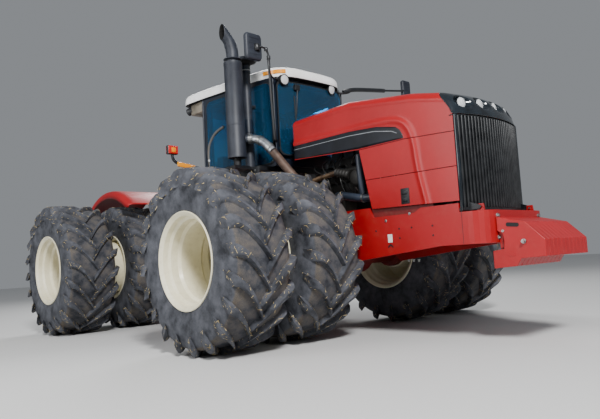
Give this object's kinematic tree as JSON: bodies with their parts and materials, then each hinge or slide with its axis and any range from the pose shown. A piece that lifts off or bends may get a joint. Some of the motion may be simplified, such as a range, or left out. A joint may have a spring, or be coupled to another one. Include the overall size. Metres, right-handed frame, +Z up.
{
  "type": "articulated four-wheel-drive farm tractor",
  "caption": "Articulated farm tractor on dual wheels, with a tipping hood, a glazed cab with a swinging door, steering cylinders and a pivoting, rolling rear frame.",
  "frame": {"origin": "on the ground, under the middle of the bounding box", "axes": "+Z up, the front of the tractor faces -Y, its left side +X"},
  "size_m": [4.876, 7.92, 4.0209],
  "materials": {
    "red_paint": "glossy red machinery enamel, dusty",
    "black_paint": "satin black powder coat",
    "ivory_paint": "semi-gloss ivory wheel enamel",
    "tyre_rubber": "dusty dark grey rubber with dried soil",
    "roof_plastic": "glossy white moulded roof",
    "cab_glass": "blue-tinted safety glass",
    "rod_chrome": "hard-chromed cylinder rod",
    "seat_cloth": "dark woven upholstery",
    "trim_plastic": "grained dark moulding",
    "cast_grey": "painted dark cast iron"
  },
  "bodies": {
    "front_body": {"front_frame": "red_paint", "front_axle": "red_paint", "engine": "cast_grey", "radiator": "cast_grey", "transmission": "cast_grey", "front_driveshaft": "cast_grey", "front_cross_member": "red_paint", "front_ballast_box": "red_paint", "cab_frame": "black_paint", "cab_roof": "roof_plastic", "windscreen": "cab_glass", "rear_glass": "cab_glass", "right_side_glass": "cab_glass", "operator_seat": "seat_cloth", "steering_column": "trim_plastic", "cab_deck": "black_paint", "entry_steps": "black_paint", "front_handrail": "black_paint", "rear_handrail": "black_paint", "exhaust_muffler": "black_paint", "exhaust_pipe": "black_paint", "air_intake": "black_paint", "right_mirror": "trim_plastic", "left_mirror": "trim_plastic", "right_lamp_arm": "black_paint", "left_lamp_arm": "black_paint"},
    "hood": {"hood_shell": "red_paint", "grille": "trim_plastic", "nose_cap": "trim_plastic"},
    "door": {"cab_door": "black_paint", "door_glass": "cab_glass"},
    "yoke": {"pivot_yoke": "red_paint"},
    "rear_body": {"rear_frame": "red_paint", "rear_axle": "red_paint", "rear_driveshaft": "cast_grey", "fuel_tank": "black_paint", "drawbar": "black_paint", "rear_right_fender": "red_paint", "rear_left_fender": "red_paint"},
    "front_right_wheels": {"front_right_rims": "ivory_paint", "front_right_inner_tyre": "tyre_rubber", "front_right_outer_tyre": "tyre_rubber"},
    "front_left_wheels": {"front_left_rims": "ivory_paint", "front_left_inner_tyre": "tyre_rubber", "front_left_outer_tyre": "tyre_rubber"},
    "rear_right_wheels": {"rear_right_rims": "ivory_paint", "rear_right_inner_tyre": "tyre_rubber", "rear_right_outer_tyre": "tyre_rubber"},
    "rear_left_wheels": {"rear_left_rims": "ivory_paint", "rear_left_inner_tyre": "tyre_rubber", "rear_left_outer_tyre": "tyre_rubber"},
    "right_barrel": {"right_steering_barrel": "black_paint"},
    "right_rod": {"right_steering_rod": "rod_chrome"},
    "left_barrel": {"left_steering_barrel": "black_paint"},
    "left_rod": {"left_steering_rod": "rod_chrome"}
  },
  "joints": [
    {"name": "articulation", "type": "hinge", "parent": "front_body", "child": "yoke", "pos_m": [0, 0.855, 0.98], "axis": [0, 0, 1], "range_deg": [-38, 38]},
    {"name": "oscillation", "type": "hinge", "parent": "yoke", "child": "rear_body", "pos_m": [0, 0.855, 0.98], "axis": [0, 1, 0], "range_deg": [-10, 10]},
    {"name": "hood_tilt", "type": "hinge", "parent": "front_body", "child": "hood", "pos_m": [0, -3.38, 1.335], "axis": [1, 0, 0], "range_deg": [0, 55]},
    {"name": "cab_door_swing", "type": "hinge", "parent": "front_body", "child": "door", "pos_m": [0.8207, 0.7, 2.7], "axis": [0, 0, 1], "range_deg": [0, 75]},
    {"name": "right_barrel_swing", "type": "hinge", "parent": "front_body", "child": "right_barrel", "pos_m": [-0.42, 0.005, 0.98], "axis": [0, 0, 1], "range_deg": [-11, 11]},
    {"name": "right_rod_slide", "type": "slide", "parent": "right_barrel", "child": "right_rod", "axis": [0, 1, 0], "range_m": [-0.28, 0.28]},
    {"name": "left_barrel_swing", "type": "hinge", "parent": "front_body", "child": "left_barrel", "pos_m": [0.42, 0.005, 0.98], "axis": [0, 0, 1], "range_deg": [-11, 11]},
    {"name": "left_rod_slide", "type": "slide", "parent": "left_barrel", "child": "left_rod", "axis": [0, 1, 0], "range_m": [-0.28, 0.28]},
    {"name": "front_right_wheels_spin", "type": "hinge", "parent": "front_body", "child": "front_right_wheels", "pos_m": [0, -1.1, 0.98], "axis": [1, 0, 0], "continuous": true},
    {"name": "front_left_wheels_spin", "type": "hinge", "parent": "front_body", "child": "front_left_wheels", "pos_m": [0, -1.1, 0.98], "axis": [1, 0, 0], "continuous": true},
    {"name": "rear_right_wheels_spin", "type": "hinge", "parent": "rear_body", "child": "rear_right_wheels", "pos_m": [0, 2.81, 0.98], "axis": [1, 0, 0], "continuous": true},
    {"name": "rear_left_wheels_spin", "type": "hinge", "parent": "rear_body", "child": "rear_left_wheels", "pos_m": [0, 2.81, 0.98], "axis": [1, 0, 0], "continuous": true}
  ],
  "couplings": [
    {"joint": "right_barrel_swing", "follows": "articulation", "ratio": 0.2619},
    {"joint": "right_rod_slide", "follows": "articulation", "m_per_rad": -0.4151},
    {"joint": "left_barrel_swing", "follows": "articulation", "ratio": 0.2619},
    {"joint": "left_rod_slide", "follows": "articulation", "m_per_rad": 0.4151}
  ]
}
